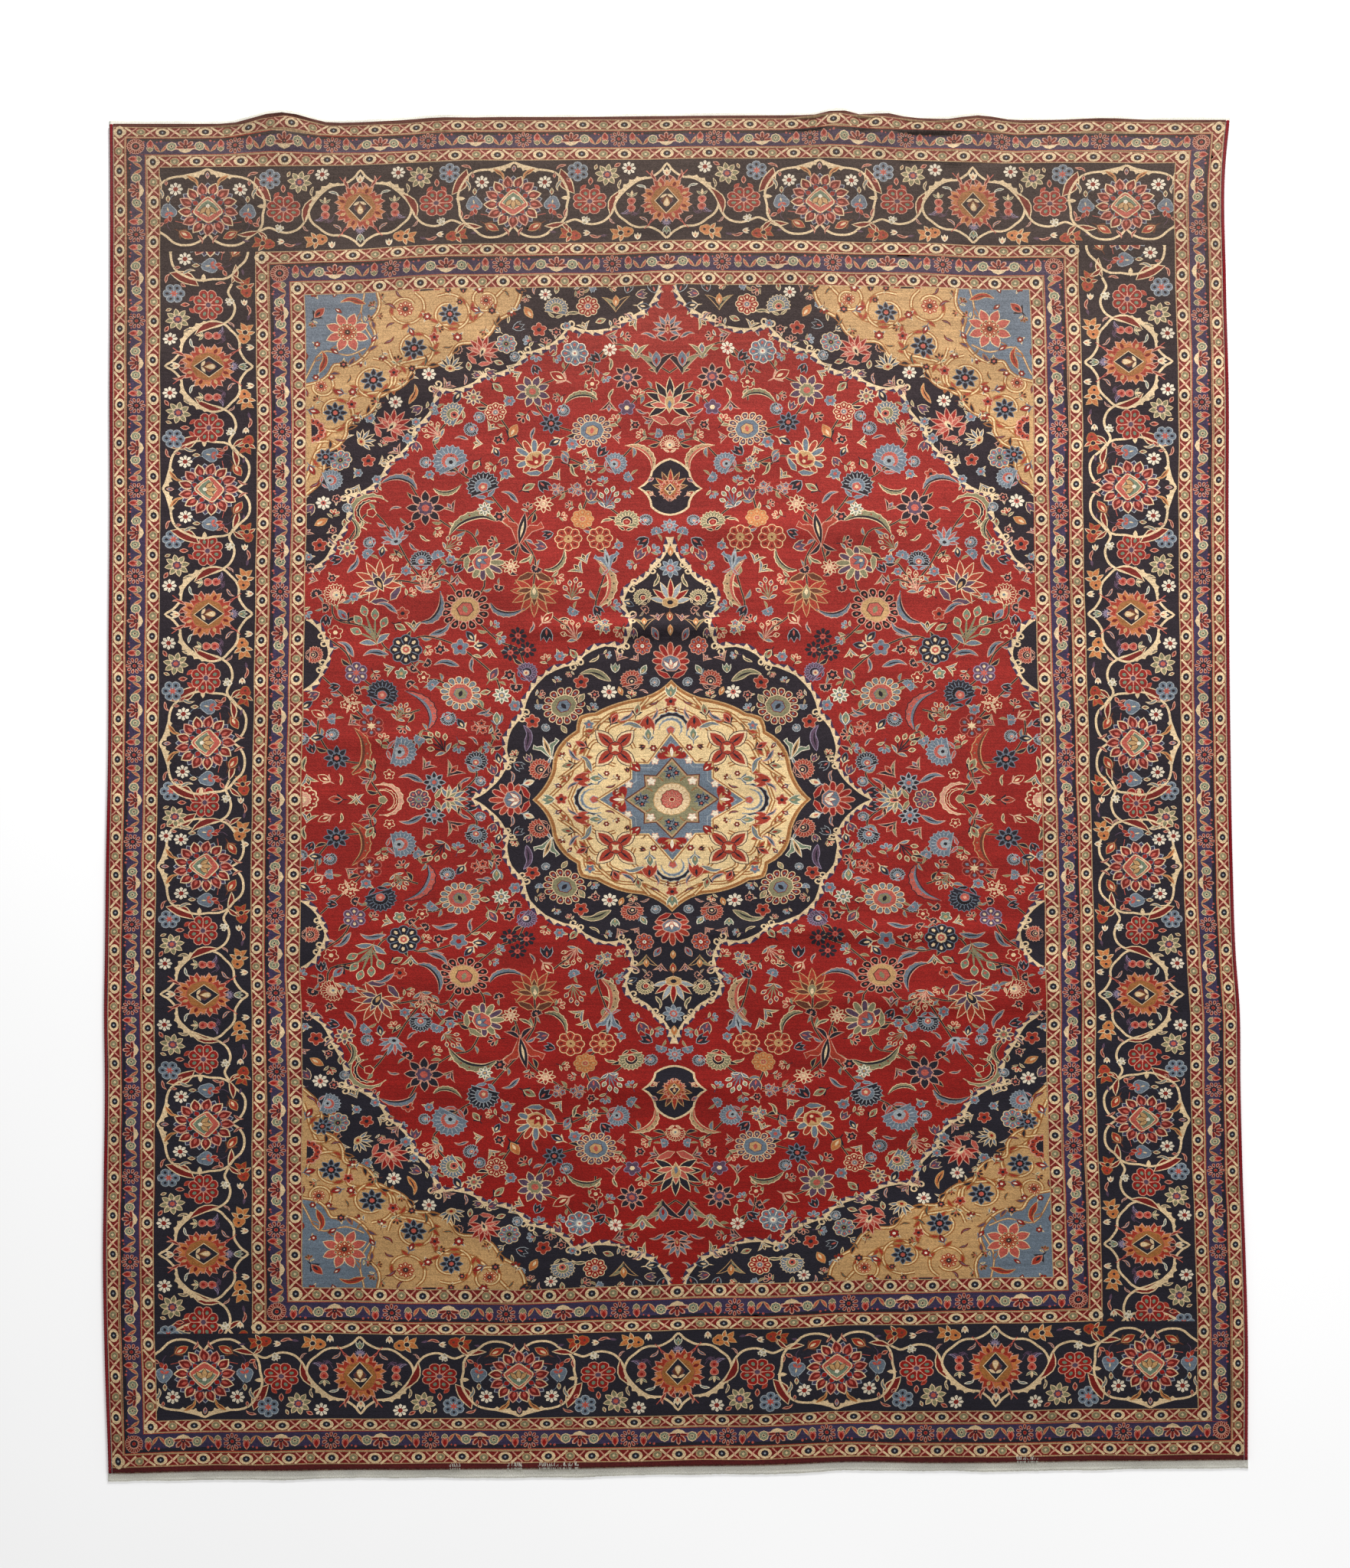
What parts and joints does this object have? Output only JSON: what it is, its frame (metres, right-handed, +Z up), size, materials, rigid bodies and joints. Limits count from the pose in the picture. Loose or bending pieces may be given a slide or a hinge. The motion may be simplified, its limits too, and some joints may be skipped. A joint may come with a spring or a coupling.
{
  "type": "persian rug",
  "caption": "Hand-knotted rectangular medallion carpet lying flat, with overcast side selvedges and narrow flat-woven end bands.",
  "frame": {"origin": "middle of the carpet's outline, on the floor it lies on", "axes": "+Y along the carpet towards the end with the buckles, +X across it, +Z up from the floor"},
  "size_m": [3.0291, 4.1632, 0.0407],
  "materials": {
    "wool_pile": "matte knotted wool pile, crimson field with navy, cream, blue and coral flowers",
    "overcast_wool": "wine-red overcast wool cord",
    "cotton_web": "undyed cotton plain weave, slightly frayed"
  },
  "bodies": {
    "root": {"rug_pile": "wool_pile", "selvedge_left": "overcast_wool", "selvedge_right": "overcast_wool", "kilim_end_top": "cotton_web", "kilim_end_bottom": "cotton_web"}
  },
  "joints": []
}
